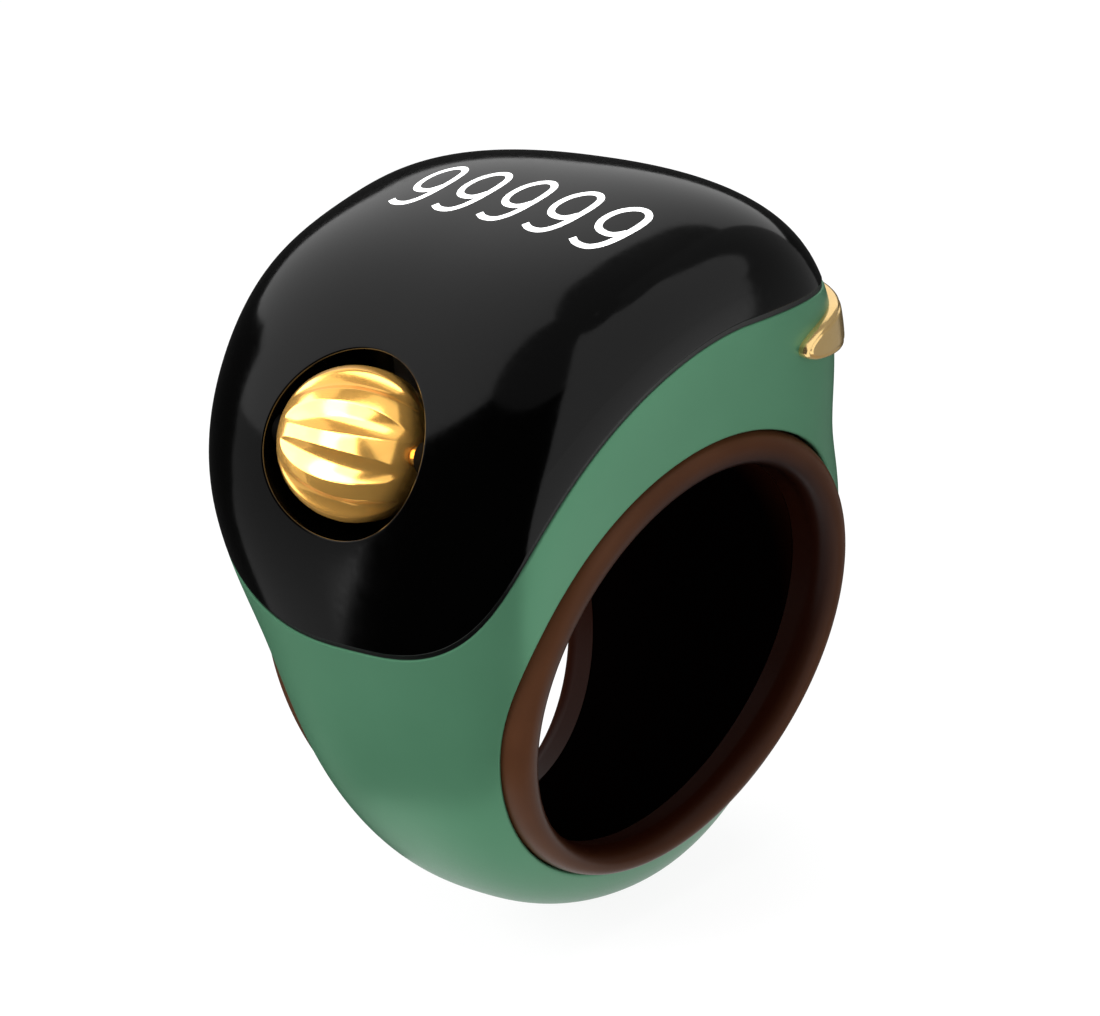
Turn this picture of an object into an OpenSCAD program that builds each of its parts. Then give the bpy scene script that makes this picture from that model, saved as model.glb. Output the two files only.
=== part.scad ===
// A digital tasbih counter worn as a ring.
// X is the axis of the finger hole, -Y is the roller's side, +Z points up to the display.
// The origin is the centre of the finger hole. All lengths are in millimetres.

/* [Finger hole] */
// Inside diameter of the finger hole
finger_d = 19; // [18.5:0.1:19.2]
// Wall of the liner tube
liner_wall = 0.8; // [0.6:0.1:1]
// Radial room between the liner and what lies round it
liner_room = 0.05; // [0.02:0.01:0.1]
// Radial width of the rounded bead at each mouth
bead_wide = 1.9; // [1.7:0.05:2]
// How far the bead stands out of the ring's side
bead_stand = 0.4; // [0.2:0.05:0.6]
// How deep the bead is seated in the ring's side
bead_seat = 1.8; // [1.6:0.1:2]

/* [Outer body] */
// Height from the lowest to the highest point
body_h = 35.7; // [35.4:0.1:37]
// Depth from the roller's side to the rear
body_d = 29; // [28.8:0.1:30.5]
// Width across the sides at the finger hole's axis
body_w = 15.9; // [15.6:0.1:17]
// Lean of each side, wider towards the top
side_lean = 15.5; // [15:0.1:16]
// Splay of each side, wider towards the rear
side_splay = 2.8; // [2.4:0.1:3.2]
// Height of the body's middle above the finger hole's axis
middle_rise = 3; // [2.9:0.05:3.2]
// Wall of the cap and of the front and the rear
shell_wall = 1.2; // [0.9:0.1:1.3]
// Wall of the ring's two sides
side_wall = 2.4; // [2.3:0.1:2.6]
// Wall of the cap's two sides
cap_side_wall = 1.6; // [1.2:0.1:1.8]
// Height above the finger hole's axis at which the hollow head begins
cavity_floor = 4; // [3.5:0.1:4.2]

/* [Seam between cap and ring] */
// Radius of the seam's arc, seen from the side
seam_r = 14.6; // [14.4:0.05:14.8]
// Distance of the arc's centre behind the finger hole's axis
seam_back = 1.05; // [0.9:0.05:1.2]
// Height of the arc's centre above the finger hole's axis
seam_rise = 1.95; // [1.8:0.05:2.1]
// Fall of the seam behind its highest point
seam_fall = 3; // [1:0.5:5]
// Thickness of the gasket in the seam
seal_t = 0.25; // [0.15:0.05:0.35]
// How far the gasket lies back from the surface
seal_inset = 0.12; // [0.05:0.01:0.2]

/* [Roller] */
// Diameter of the ball roller
roller_d = 7.1; // [6.9:0.05:7.2]
// Length of the roller between its flat ends
roller_l = 6.9; // [6.7:0.02:6.92]
// Number of flutes
flute_count = 10; // [8:1:10]
// Depth of a flute at the roller's middle
flute_depth = 0.34; // [0.2:0.02:0.36]
// Radius of a flute's section
flute_r = 0.75; // [0.6:0.05:0.8]
// Radius of the sweep that a flute's cutter makes along the roller
flute_sweep_r = 3.9; // [3.8:0.05:4]
// Angle of that sweep
flute_sweep = 106; // [100:2:108]
// Turn of the flutes about their own axis
flute_turn = 6; // [0:1:35]
// Turn of the flutes' axis away from the axle, inwards at the right
flute_slant = 42; // [36:1:46]
// Dip of the flutes' axis at the right
flute_dip = 14; // [10:1:18]
// Latitude of the flutes' middles, towards the left
flute_shift = 17; // [12:1:20]
// How deep the roller's axis lies behind the window's middle
roller_sink = 1.06; // [1:0.02:1.2]
// Diameter of the axle
axle_d = 0.8; // [0.6:0.1:0.9]
// Free length of the axle between the roller and a cheek
axle_stub = 0.65; // [0.6:0.01:0.68]
// Radial running room of the axle in the cradle
axle_room = 0.05; // [0.02:0.01:0.08]
// Travel of the roller and its cradle when they are pressed in
press_travel = 0.35; // [0.2:0.05:0.35]
// Free length left between moving pieces
free_gap = 0.25; // [0.2:0.01:0.28]

/* [Window] */
// Width of the window along the axle
window_w = 9.46; // [9.4:0.02:9.6]
// Height of the window across the axle
window_h = 8.36; // [8.2:0.02:8.6]
// Tilt of the window's axis above level
window_tilt = 14; // [13:0.5:16]
// Turn of the window's middle round the body's middle, from the rear over the top
window_at = 146.4; // [146:0.1:147]

/* [Cradle] */
// Thickness of a cradle cheek
cheek_t = 0.45; // [0.4:0.05:0.5]
// Radius of a cheek round the axle
cheek_r = 0.75; // [0.65:0.05:0.8]
// Thickness of the cradle's back plate
plate_t = 0.9; // [0.7:0.05:0.95]
// Height of the cradle's back plate
plate_h = 2.6; // [2.2:0.1:2.8]
// Outer radius of the magnet ring in the roller's end
magnet_r = 0.75; // [0.65:0.05:0.75]
// Thickness of the magnet ring
magnet_t = 0.6; // [0.4:0.05:0.7]
// Thickness of the wall that holds the switch
switch_wall_t = 0.7; // [0.6:0.05:0.75]
// Reach of that wall above the switch's middle
switch_wall_up = 1.4; // [1.3:0.05:1.5]
// Side of the square press switch
switch_w = 2.2; // [1.8:0.1:2.4]
// Height of the press switch
switch_h = 0.7; // [0.6:0.05:0.75]
// Radius and height of the switch's plunger
plunger_r = 0.5; // [0.4:0.05:0.55]
// Outer radius of a return spring
spring_r = 0.7; // [0.5:0.05:0.75]
// Wall of a return spring's sleeve of coils
spring_wire = 0.25; // [0.2:0.01:0.3]
// Distance of a return spring from the middle
spring_x = 3.1; // [2.8:0.1:3.3]

/* [Inner frame] */
// Thickness of the frame's saddle on the liner
saddle_t = 0.6; // [0.5:0.05:0.7]
// Half length of the saddle along the finger hole
saddle_half_l = 6.5; // [6.4:0.05:6.55]
// Height of the saddle's lower edge at the rear
saddle_low = 4.5; // [4.4:0.1:4.8]
// Distance of the saddle's front edge before the finger hole's axis
saddle_front = 7; // [6.6:0.1:7.1]
// Height of the deck's top above the saddle's crown
deck_rise = 0.35; // [0.3:0.05:0.45]
// Thickness of the deck
deck_t = 0.6; // [0.5:0.05:0.7]
// Distance of the deck's front edge before the finger hole's axis
deck_front = 4.6; // [4.5:0.05:4.8]
// Distance of the deck's rear edge behind the finger hole's axis
deck_back = 5.6; // [5.4:0.05:5.7]
// Radius of a screw post
post_r = 0.95; // [0.85:0.05:1]
// Distance of a screw post's axis from the middle
post_x = 6.1; // [6:0.02:6.16]
// Thickness of the guide plates beside the cradle
guide_t = 0.7; // [0.6:0.05:0.75]
// Distance of the guide plates' front edge before the finger hole's axis
guide_front = 10.6; // [10.4:0.05:10.8]
// Length of the guide plates along Y
guide_l = 4.2; // [4:0.05:4.4]
// Height of the guide plates' lower edge above the finger hole's axis
guide_low = 8.4; // [8.2:0.05:8.5]
// Height of the guide plates
guide_h = 5.2; // [5:0.05:5.4]

/* [Battery and board] */
// Width of the battery
battery_w = 10.2; // [9.8:0.1:10.3]
// Depth of the battery
battery_d = 10.2; // [9.8:0.1:10.4]
// Thickness of the battery
battery_t = 2.8; // [2.4:0.1:2.9]
// Distance of the battery's front edge before the finger hole's axis
battery_front = 3.6; // [3.5:0.05:3.65]
// Width of the circuit board
board_w = 14.6; // [14.4:0.05:14.8]
// Depth of the circuit board
board_d = 12.6; // [12.4:0.1:12.8]
// Thickness of the circuit board
board_t = 0.8; // [0.6:0.05:0.9]
// Room between the battery and the board
board_gap = 0.4; // [0.3:0.05:0.5]
// Thickness of a battery tab
tab_t = 0.2; // [0.15:0.01:0.25]
// Side of the square controller chip
chip_w = 3.1; // [2.8:0.1:3.2]
// Height of a chip
chip_h = 0.7; // [0.6:0.05:0.8]
// Side of the square radio chip
radio_w = 2.5; // [2.2:0.1:2.7]
// Length of the antenna
antenna_l = 3; // [2.6:0.1:3.2]
// Width of the antenna
antenna_w = 0.9; // [0.8:0.05:1]
// Length of each small component
bit_l = 0.9; // [0.7:0.05:0.95]
// Width of each small component
bit_w = 0.5; // [0.4:0.05:0.55]
// Radius of a screw's head
screw_head_r = 0.9; // [0.8:0.05:1]
// Height of a screw's head
screw_head_h = 0.45; // [0.3:0.05:0.5]
// Radius of a screw's thread
screw_r = 0.45; // [0.35:0.05:0.5]
// Length of a screw below its head
screw_l = 3; // [2.4:0.1:3.4]

/* [Display] */
// Width of the display panel
display_w = 13; // [12.6:0.1:13.2]
// Depth of the display panel
display_d = 5.8; // [5.4:0.1:6]
// Thickness of the display panel
display_t = 1; // [0.8:0.05:1.1]
// Offset of the display towards +X
display_x = 0.8; // [0.5:0.1:0.9]
// Turn of the display's middle round the body's middle, from the rear over the top
display_at = 92.6; // [92:0.2:93.4]
// Room between the cap and the display's glass at the middle
display_gap = 1.2; // [1.1:0.05:1.3]
// Wall of the display's frame
display_rim = 0.6; // [0.5:0.05:0.65]
// Side of a leg of the display's frame
leg_w = 0.8; // [0.7:0.05:0.9]
// Distance of the legs from the display's middle
leg_x = 3.6; // [3.4:0.1:3.8]
// Thickness of the display's ribbon
ribbon_t = 0.14; // [0.1:0.01:0.2]
// Width of the display's ribbon
ribbon_w = 4; // [3:0.1:4.4]

/* [Vibration motor] */
// Diameter of the coin motor
motor_d = 7; // [6:0.5:7.5]
// Thickness of the coin motor
motor_t = 2.1; // [1.8:0.1:2.3]
// Turn of the motor round the finger hole, from the rear
motor_at = 39.5; // [39:0.5:40]
// Thickness of the foam pad under the motor
pad_t = 0.3; // [0.2:0.05:0.4]

/* [Rear ornament] */
// Height of the band at its middle
band_h = 3.3; // [2.6:0.1:3.5]
// Height of the band's middle line above the finger hole's axis
band_z = 14.1; // [13.9:0.05:14.2]
// How far the band stands out
band_stand = 0.5; // [0.3:0.05:0.6]
// Turn from the rear to the band's tips
band_reach = 71; // [60:1:72]
// Radius of the pins that hold the band
pin_r = 0.5; // [0.4:0.05:0.6]
// Distance of the pins from the middle
pin_x = 4.5; // [3.5:0.1:5]
// Length of a pin
pin_l = 2; // [1.8:0.1:2.2]

/* [Charging pads] */
// Radius of a charging pad
pad_r = 0.9; // [0.7:0.05:1]
// Distance of each charging pad from the middle
pad_x = 2.2; // [1.8:0.1:2.4]

/* [Hidden] */
$fn = 96;

// Colours, as the photograph shows them
black_gloss = [0.12, 0.12, 0.13];
green_metal = [0.30, 0.48, 0.37];
liner_brown = [0.22, 0.12, 0.07];
gold = [0.86, 0.66, 0.33];
steel = [0.72, 0.73, 0.75];
board_green = [0.05, 0.28, 0.16];
dark_plastic = [0.09, 0.09, 0.10];

// Reach of the side outline at each sixteenth of a turn, from the rear over the top,
// as a share of an ellipse as high and as deep as the body
reach_shares = [1.025, 0.968, 1.086, 1.117, 1.033, 1.017, 1.036, 1.032,
                0.913, 0.919, 0.926, 0.910, 0.935, 0.997, 1.020, 1.012];
// How square the sides fall off towards the outline, at the front and at the rear
square_front_share = 12.3;
square_rear_share = 5.8;
// How square the width rounds over at the outline, at the front and at the rear
round_front_share = 2.95;
round_rear_share = 2.01;
// Reach of the cutting solids beyond the surface that they cut
overreach_share = 1.35;
// Place of the point inside the head that the seam's cut aims at, as shares of the half height
core_back_share = 0.056;
core_rise_share = 0.45;
// Bead: share of its width that its rounding takes
bead_round_share = 0.47;
// Flatness of the band's outline: the higher, the blunter its tips
band_blunt_share = 4;
// Share of the seam's stations that lie on its arc
arc_share = 0.62;
// Outline angle over which the slope at the display is taken
slope_step = 3;
// Facets: round the outline, from the side's middle to the outline, along the seam
outline_steps = 60;
row_steps = 8;
seam_steps = 26;
window_steps = 48;
band_steps = 20;
bead_steps = 14;

half_h = body_h / 2;
half_d = body_d / 2;
finger_r = finger_d / 2;
liner_r = finger_r + liner_wall;
bore_r = liner_r + liner_room;
bead_r = finger_r + bead_wide;
overrun = body_w;
core_y = core_back_share * half_h;
core_z = core_rise_share * half_h;
roller_r = roller_d / 2;
axle_r = axle_d / 2;
cheek_x = roller_l / 2 + axle_stub;
cradle_half_w = cheek_x + cheek_t;
plate_back = roller_r + free_gap + plate_t;
plunger_top = plate_back + press_travel + free_gap / 2;
switch_back = plunger_top + plunger_r + switch_h;
saddle_r = bore_r + liner_room + saddle_t;
deck_top = saddle_r + deck_rise;
board_z = deck_top + battery_t + board_gap;
board_front = battery_front + liner_room * 4;
board_top = board_z + board_t;
motor_r = motor_d / 2;

// Share of the ellipse at an outline angle: a smooth curve through reach_shares
function share_near(i) = reach_shares[(i + len(reach_shares)) % len(reach_shares)];
function smooth(a, b, c, d, t) =
    (2 * b + (c - a) * t + (2 * a - 5 * b + 4 * c - d) * t * t + (3 * b - a - 3 * c + d) * t * t * t) / 2;
function share_at(angle) =
    let (turn = (angle % 360 + 360) % 360 * len(reach_shares) / 360, i = floor(turn))
    smooth(share_near(i - 1), share_near(i), share_near(i + 1), share_near(i + 2), turn - i);

// Point [y, z] of the side outline at an angle, grown outwards by a length
function outline(angle, grow) =
    [(half_d + grow) * share_at(angle) * cos(angle),
     (half_h + grow) * share_at(angle) * sin(angle) + middle_rise];
// Half width of the flat part of the side at a depth and a height
function side_at(y, z, grow) = body_w / 2 + z * tan(side_lean) + y * tan(side_splay) + grow;
function between(front, rear, angle) = (front + rear) / 2 - (front - rear) / 2 * cos(angle);
function square_at(angle) = between(square_front_share, square_rear_share, angle);
function round_at(angle) = between(round_front_share, round_rear_share, angle);
// Share of the side's half width at a share of the outline's reach
function width_share(reach, angle) =
    pow(max(0, 1 - pow(max(0, reach), square_at(angle))), 1 / round_at(angle));
// Outline angle and reach of a point [y, z]
function angle_of(p) = atan2((p[1] - middle_rise) / half_h, p[0] / half_d);
function reach_of(p) = norm([p[0] / half_d, (p[1] - middle_rise) / half_h]) / share_at(angle_of(p));
// The point of the surface over [y, z], on the +X side
function over(p) = [side_at(p[0], p[1], 0) * width_share(reach_of(p), angle_of(p)), p[0], p[1]];

// Reach of a grid row: rows crowd where the side rounds over
function row_reach(j, angle) = pow(sin(90 * j / row_steps), 2 / square_at(angle));
function dome_point(i, j, grow, side_grow) =
    let (angle = 360 * i / outline_steps, u = row_reach(j, angle), edge = outline(angle, grow),
         z = (edge[1] - middle_rise) * u + middle_rise)
    [side_at(edge[0] * u, z, side_grow) * pow(cos(90 * j / row_steps), 2 / round_at(angle)), edge[0] * u, z];
function flip(p) = [-p[0], p[1], p[2]];

// The domed outer form, grown by one length at the outline and by another at the sides
module dome(grow = 0, side_grow = 0) {
    n = outline_steps;
    rows = row_steps;
    right = [for (j = [1:rows]) for (i = [0:n - 1]) dome_point(i, j, grow, side_grow)];
    left = [for (j = [rows - 1:-1:1]) for (i = [0:n - 1]) flip(dome_point(i, j, grow, side_grow))];
    top_pole = [side_at(0, middle_rise, side_grow), 0, middle_rise];
    points = concat([top_pole], right, left, [flip(top_pole)]);
    last = len(points) - 1;
    caps = concat([for (i = [0:n - 1]) [0, 1 + (i + 1) % n, 1 + i]],
                  [for (i = [0:n - 1]) [last, last - n + i, last - n + (i + 1) % n]]);
    bands = [for (j = [0:2 * rows - 3]) for (i = [0:n - 1])
             let (a = 1 + j * n + i, b = 1 + j * n + (i + 1) % n) [a, b, b + n, a + n]];
    tris = [for (q = bands) each [[q[0], q[1], q[2]], [q[0], q[2], q[3]]]];
    polyhedron(points, concat(caps, tris));
}

// Arc angle at which the seam's arc meets the front outline
function seam_arc(angle) = [seam_back + seam_r * cos(angle), seam_rise + seam_r * sin(angle)];
function front_meet(low, high, left) =
    left == 0 ? low :
    let (mid = (low + high) / 2)
    reach_of(seam_arc(mid)) < 1 ? front_meet(mid, high, left - 1) : front_meet(low, mid, left - 1);
// Distance along the seam's straight stretch at which it meets the rear outline
function seam_level(y) = [y, seam_rise + seam_r - (y - seam_back) * tan(seam_fall)];
function rear_meet(low, high, left) =
    left == 0 ? low :
    let (mid = (low + high) / 2)
    reach_of(seam_level(mid)) < 1 ? rear_meet(mid, high, left - 1) : rear_meet(low, mid, left - 1);
front_angle = front_meet(90, 200, 20);
rear_y = rear_meet(seam_back, half_d * 2, 20);

// Seam point on the +X side, from the front (0) to the rear (1), crowded at both ends
function seam_yz(t) =
    let (s = (1 - cos(180 * t)) / 2)
    s < arc_share ? seam_arc(front_angle + (90 - front_angle) * s / arc_share)
                  : seam_level(seam_back + (rear_y - seam_back) * (s - arc_share) / (1 - arc_share));
seam_right = [for (k = [0:seam_steps]) over(seam_yz(k / seam_steps))];
seam_loop = concat([for (k = [0:seam_steps]) seam_right[k]],
                   [for (k = [seam_steps - 1:-1:1]) flip(seam_right[k])]);

// Everything above the seam: a cone from the core out through the seam, closed far above
module above_seam(drop = 0) {
    core = [0, core_y, core_z];
    ring = [for (p = seam_loop) core + overreach_share * (p - core)];
    n = len(ring);
    translate([0, 0, -drop])
        polyhedron(concat([core, [0, 0, body_h * 2]], ring),
                   concat([for (k = [0:n - 1]) [0, 2 + k, 2 + (k + 1) % n]],
                          [for (k = [0:n - 1]) [1, 2 + (k + 1) % n, 2 + k]]));
}

window_middle = outline(window_at, 0);
// Frame of the window: local Z leaves the window, local Y runs up the slope
module at_window() {
    translate([0, window_middle[0], window_middle[1]])
        rotate([90 - window_tilt, 0, 0]) children();
}
// Frame of the roller: its origin is the middle of the axle
module at_roller() {
    at_window() translate([0, 0, -roller_sink]) children();
}
// Frame of one side: local Z is the side's outward normal at the finger hole's axis
module on_side(left = 0) {
    mirror([left, 0, 0]) translate([body_w / 2, 0, 0]) rotate([0, 0, -side_splay])
        rotate([0, 90 + atan(tan(side_lean) * cos(side_splay)), 0]) children();
}
roof = outline(display_at, 0);
roof_before = outline(display_at + slope_step, 0);
roof_after = outline(display_at - slope_step, 0);
roof_slope = atan2(roof_after[1] - roof_before[1], roof_after[0] - roof_before[0]);
// Frame of the display: its origin is on the roof above the display's middle
module at_roof() {
    translate([display_x, roof[0], roof[1]]) rotate([roof_slope, 0, 0]) children();
}
module at_motor() {
    rotate([motor_at - 90, 0, 0]) translate([0, 0, saddle_r]) children();
}
// A cylinder along X, centred on the origin
module bar_x(r, l) {
    rotate([0, 90, 0]) cylinder(r = r, h = l, center = true);
}
module box(size, at) {
    translate(at - [size[0] / 2, size[1] / 2, 0]) cube(size);
}
module window_prism(height) {
    linear_extrude(height)
        polygon([for (k = [0:window_steps - 1])
                 [window_w / 2 * cos(360 * k / window_steps), window_h / 2 * sin(360 * k / window_steps)]]);
}

module top_cap() {
    color(black_gloss) difference() {
        intersection() {
            dome();
            above_seam();
        }
        dome(-shell_wall, -cap_side_wall);
        at_window() translate([0, 0, -roller_sink - roller_r]) window_prism(overrun);
    }
}

module ring_body() {
    color(green_metal) difference() {
        dome();
        above_seam(seal_t);
        intersection() {
            dome(-shell_wall, -side_wall);
            translate([-overrun, -overrun, cavity_floor]) cube([overrun * 2, overrun * 2, body_h]);
        }
        bar_x(bore_r, body_w * 2);
        for (left = [0, 1]) on_side(left) translate([0, 0, -bead_seat])
            cylinder(r = bead_r + liner_room, h = overrun);
        band_pin_shapes(pin_r + liner_room);
    }
}

module cap_seal() {
    color(dark_plastic) difference() {
        intersection() {
            dome(-seal_inset, -seal_inset);
            above_seam(seal_t);
        }
        above_seam();
        dome(-shell_wall, -cap_side_wall);
    }
}

module inner_liner() {
    color(liner_brown) difference() {
        bar_x(liner_r, body_w * 2);
        bar_x(finger_r, body_w * 3);
        for (left = [0, 1]) on_side(left) box([overrun * 3, overrun * 3, overrun], [0, 0, -bead_seat]);
        for (side = [-1, 1]) translate([side * pad_x, 0, 0])
            cylinder(r = pad_r + liner_room, h = liner_r * 2);
    }
}

// One bead: a rounded ring seated in the ring's side and bored with the finger hole
bead_round_r = bead_wide * bead_round_share;
bead_arc = [for (k = [0:bead_steps]) let (turn = 180 * k / bead_steps)
            [bead_r - bead_round_r * (1 + cos(turn)), bead_stand - bead_round_r * (1 - sin(turn))]];
module bead(left) {
    color(liner_brown) difference() {
        on_side(left) rotate_extrude()
            polygon(concat([[finger_r - bead_wide, -bead_seat], [finger_r - bead_wide, bead_stand - bead_round_r]],
                           bead_arc, [[bead_r, -bead_seat]]));
        bar_x(finger_r, body_w * 2);
    }
}
module bead_right() { bead(0); }
module bead_left() { bead(1); }

// One flute: a round section swept along an arc that is flatter than the ball
module flute() {
    rotate([0, flute_shift, 0]) rotate([90, 0, 0]) translate([roller_r - flute_depth + flute_r - flute_sweep_r, 0, 0])
        rotate([0, 0, -flute_sweep / 2]) rotate_extrude(angle = flute_sweep)
            translate([flute_sweep_r, 0]) circle(r = flute_r, $fn = 48);
}

// Frame in which the flutes' own axis is local Z
module at_flutes() {
    rotate([0, -90, 0]) rotate([0, flute_slant, 0]) rotate([0, 0, -flute_dip]) rotate([0, 90, 0]) children();
}

module roller_drum() {
    color(gold) at_roller() rotate([0, 90, 0]) difference() {
        intersection() {
            sphere(r = roller_r);
            cylinder(r = roller_r * 2, h = roller_l, center = true);
        }
        at_flutes() for (k = [0:flute_count - 1])
            rotate([0, 0, flute_turn + 360 * k / flute_count]) flute();
        cylinder(r = axle_r, h = overrun, center = true);
        translate([0, 0, -roller_l]) cylinder(r = magnet_r, h = roller_l / 2 + magnet_t);
    }
}

module roller_axle() {
    color(steel) at_roller() bar_x(axle_r, cradle_half_w * 2);
}

module roller_magnet() {
    color(steel) at_roller() translate([-roller_l / 2, 0, 0]) rotate([0, 90, 0]) difference() {
        cylinder(r = magnet_r, h = magnet_t);
        translate([0, 0, -overrun / 2]) cylinder(r = axle_r, h = overrun);
    }
}

// Two cheeks that carry the axle, joined by a plate behind the roller
module roller_cradle() {
    color(dark_plastic) at_roller() difference() {
        union() {
            for (side = [-1, 1]) {
                translate([side * (cheek_x + cheek_t / 2), 0, 0]) bar_x(cheek_r, cheek_t);
                box([cheek_t, cheek_r * 2, plate_back], [side * (cheek_x + cheek_t / 2), 0, -plate_back]);
            }
            box([cradle_half_w * 2, plate_h, plate_t], [0, 0, -plate_back]);
        }
        bar_x(axle_r + axle_room, cradle_half_w * 3);
    }
}

module press_switch() {
    color(steel) at_roller() box([switch_w, switch_w, switch_h], [0, 0, -switch_back]);
}

module switch_plunger() {
    color(black_gloss) at_roller() translate([0, 0, switch_h - switch_back])
        cylinder(r = plunger_r, h = plunger_r);
}

module cradle_springs() {
    color(steel) at_roller() for (side = [-1, 1]) translate([side * spring_x, 0, -switch_back])
        difference() {
            cylinder(r = spring_r, h = switch_h + plunger_r);
            translate([0, 0, -overrun / 2]) cylinder(r = spring_r - spring_wire, h = overrun);
        }
}

module hall_sensor() {
    color(dark_plastic) at_roller()
        box([switch_h, switch_w / 2, switch_w / 2],
            [-(cradle_half_w + free_gap + guide_t + switch_h / 2), 0, -switch_w]);
}

post_front = post_r - board_front;
post_back = board_d - board_front - post_r;

// The carrier: a saddle on the liner, a deck for the battery, posts for the board,
// guides for the cradle and the wall behind the switch
module inner_frame() {
    guide_x = cradle_half_w + free_gap + guide_t / 2;
    color(dark_plastic) difference() {
        union() {
            difference() {
                bar_x(saddle_r, saddle_half_l * 2);
                translate([-overrun, -overrun, -overrun * 2])
                    cube([overrun * 2, overrun * 2, overrun * 2 + saddle_low]);
                translate([-overrun, -saddle_front - overrun, -overrun])
                    cube([overrun * 2, overrun, overrun * 2]);
            }
            box([saddle_half_l * 2, deck_front + deck_back, deck_t],
                [0, (deck_back - deck_front) / 2, deck_top - deck_t]);
            for (x = [-post_x, post_x]) for (y = [post_front, post_back])
                translate([x, y, guide_low - saddle_t]) cylinder(r = post_r, h = board_z - guide_low + saddle_t);
            for (x = [-guide_x, guide_x])
                box([guide_t, guide_l, guide_h], [x, guide_l / 2 - guide_front, guide_low]);
            at_roller() translate([0, 0, -switch_back - switch_wall_t])
                translate([-cradle_half_w, -saddle_t * 5, 0])
                    cube([cradle_half_w * 2, saddle_t * 5 + switch_wall_up, switch_wall_t]);
        }
        bar_x(bore_r + liner_room, overrun * 3);
        for (x = [-post_x, post_x]) for (y = [post_front, post_back])
            translate([x, y, board_z - screw_l]) cylinder(r = screw_r, h = screw_l + overrun);
    }
}

module frame_screws() {
    color(steel) for (x = [-post_x, post_x]) for (y = [post_front, post_back])
        translate([x, y, board_top]) union() {
            cylinder(r = screw_head_r, h = screw_head_h);
            translate([0, 0, -screw_l]) cylinder(r = screw_r, h = screw_l);
        }
}

module battery_cell() {
    color(steel) box([battery_w, battery_d, battery_t], [0, battery_d / 2 - battery_front, deck_top]);
}

module battery_tabs() {
    color(gold) for (side = [-1, 1])
        box([battery_w / 6, tab_t, battery_t / 2 + board_gap - liner_room],
            [side * battery_w / 5, battery_d - battery_front + liner_room + tab_t / 2, deck_top + battery_t / 2]);
}

module circuit_board() {
    color(board_green) difference() {
        box([board_w, board_d, board_t], [0, board_d / 2 - board_front, board_z]);
        for (x = [-post_x, post_x]) for (y = [post_front, post_back])
            translate([x, y, board_z - board_t]) cylinder(r = screw_r + liner_room, h = board_t * 3);
    }
}

chips_y = board_d - board_front - bit_l * 2 - chip_w / 2;
module controller_chip() {
    color(dark_plastic) box([chip_w, chip_w, chip_h], [-chip_w * 0.6, chips_y, board_top]);
}

module radio_chip() {
    color(dark_plastic) box([radio_w, radio_w, chip_h], [radio_w, chips_y, board_top]);
}

module board_parts() {
    color(gold) for (k = [0:3])
        box([bit_w, bit_l, chip_h / 2],
            [(k - 3.5) * bit_w * 2.2, board_d - board_front - bit_l, board_top]);
}

module antenna() {
    color(steel) box([antenna_l, antenna_w, chip_h * 0.8],
                     [antenna_l * 0.7, board_d - board_front - bit_l, board_top]);
}

display_top = shell_wall + display_gap;
module display_panel() {
    color(black_gloss) at_roof()
        box([display_w, display_d, display_t], [0, 0, -display_top - display_t]);
}

// Open box round the panel, with four legs down to the board
module display_frame() {
    out_w = display_w + display_rim * 2;
    out_d = display_d + display_rim * 2;
    color(dark_plastic) difference() {
        union() {
            at_roof() box([out_w, out_d, display_t + display_rim], [0, 0, -display_top - display_t - display_rim]);
            for (x = [-leg_x, leg_x]) for (y = [leg_w - out_d, out_d - leg_w] / 2)
                translate([display_x + x, roof[0] + y, board_top])
                    box([leg_w, leg_w, roof[1] + y * tan(roof_slope) - display_top - display_t - board_top], [0, 0, 0]);
        }
        at_roof() box([display_w + liner_room, display_d + liner_room, overrun],
                      [0, 0, -display_top - display_t]);
        at_roof() box([display_w - display_rim * 2, display_d - display_rim * 2, overrun],
                      [0, 0, -overrun / 2 - display_top]);
    }
}

module display_flex() {
    strap_y = roof[0] + (display_d / 2 + display_rim) * cos(roof_slope)
              + (display_top + display_t + display_rim) * abs(sin(roof_slope)) + ribbon_t / 2 + liner_room;
    color(gold) box([ribbon_w, ribbon_t, roof[1] - display_top - display_t / 2 - board_top],
                    [display_x, strap_y, board_top]);
}

module vibration_motor() {
    color(steel) at_motor() translate([0, 0, pad_t]) cylinder(r = motor_r, h = motor_t);
}

module motor_pad() {
    color(dark_plastic) at_motor() cylinder(r = motor_r, h = pad_t);
}

// Two pads that show in the roof of the finger hole
module charging_contacts() {
    color(gold) for (side = [-1, 1]) translate([side * pad_x, 0, 0]) difference() {
        cylinder(r = pad_r, h = liner_r);
        bar_x(finger_r + liner_room, overrun);
    }
}

// Height share of the band's edge at a share of its reach
function band_edge(s) = pow(max(0, 1 - pow(abs(s), band_blunt_share)), 0.5);
function band_station(s, out) =
    let (turn = band_reach * s, dir = [sin(turn), cos(turn)], h = band_h / 2 * band_edge(s) + liner_room / 10)
    [for (up = [-1, 1]) [dir[0] * out, core_y + dir[1] * out, band_z + up * h]];
// The space that the band fills: a curved strip that widens outwards
module band_space() {
    stations = [for (k = [0:band_steps]) let (s = sin(90 * (2 * k / band_steps - 1)))
                concat(band_station(s, half_d / 2), [for (p = [1, 0]) band_station(s, half_d * 2)[p]])];
    points = [for (st = stations) each st];
    sides = [for (k = [0:band_steps - 1]) for (c = [0:3])
             let (a = 4 * k + c, b = 4 * k + (c + 1) % 4) each [[a, b, b + 4], [a, b + 4, a + 4]]];
    end = 4 * band_steps;
    polyhedron(points, concat([[3, 2, 1, 0]], [[end, end + 1, end + 2, end + 3]], sides));
}

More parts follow.
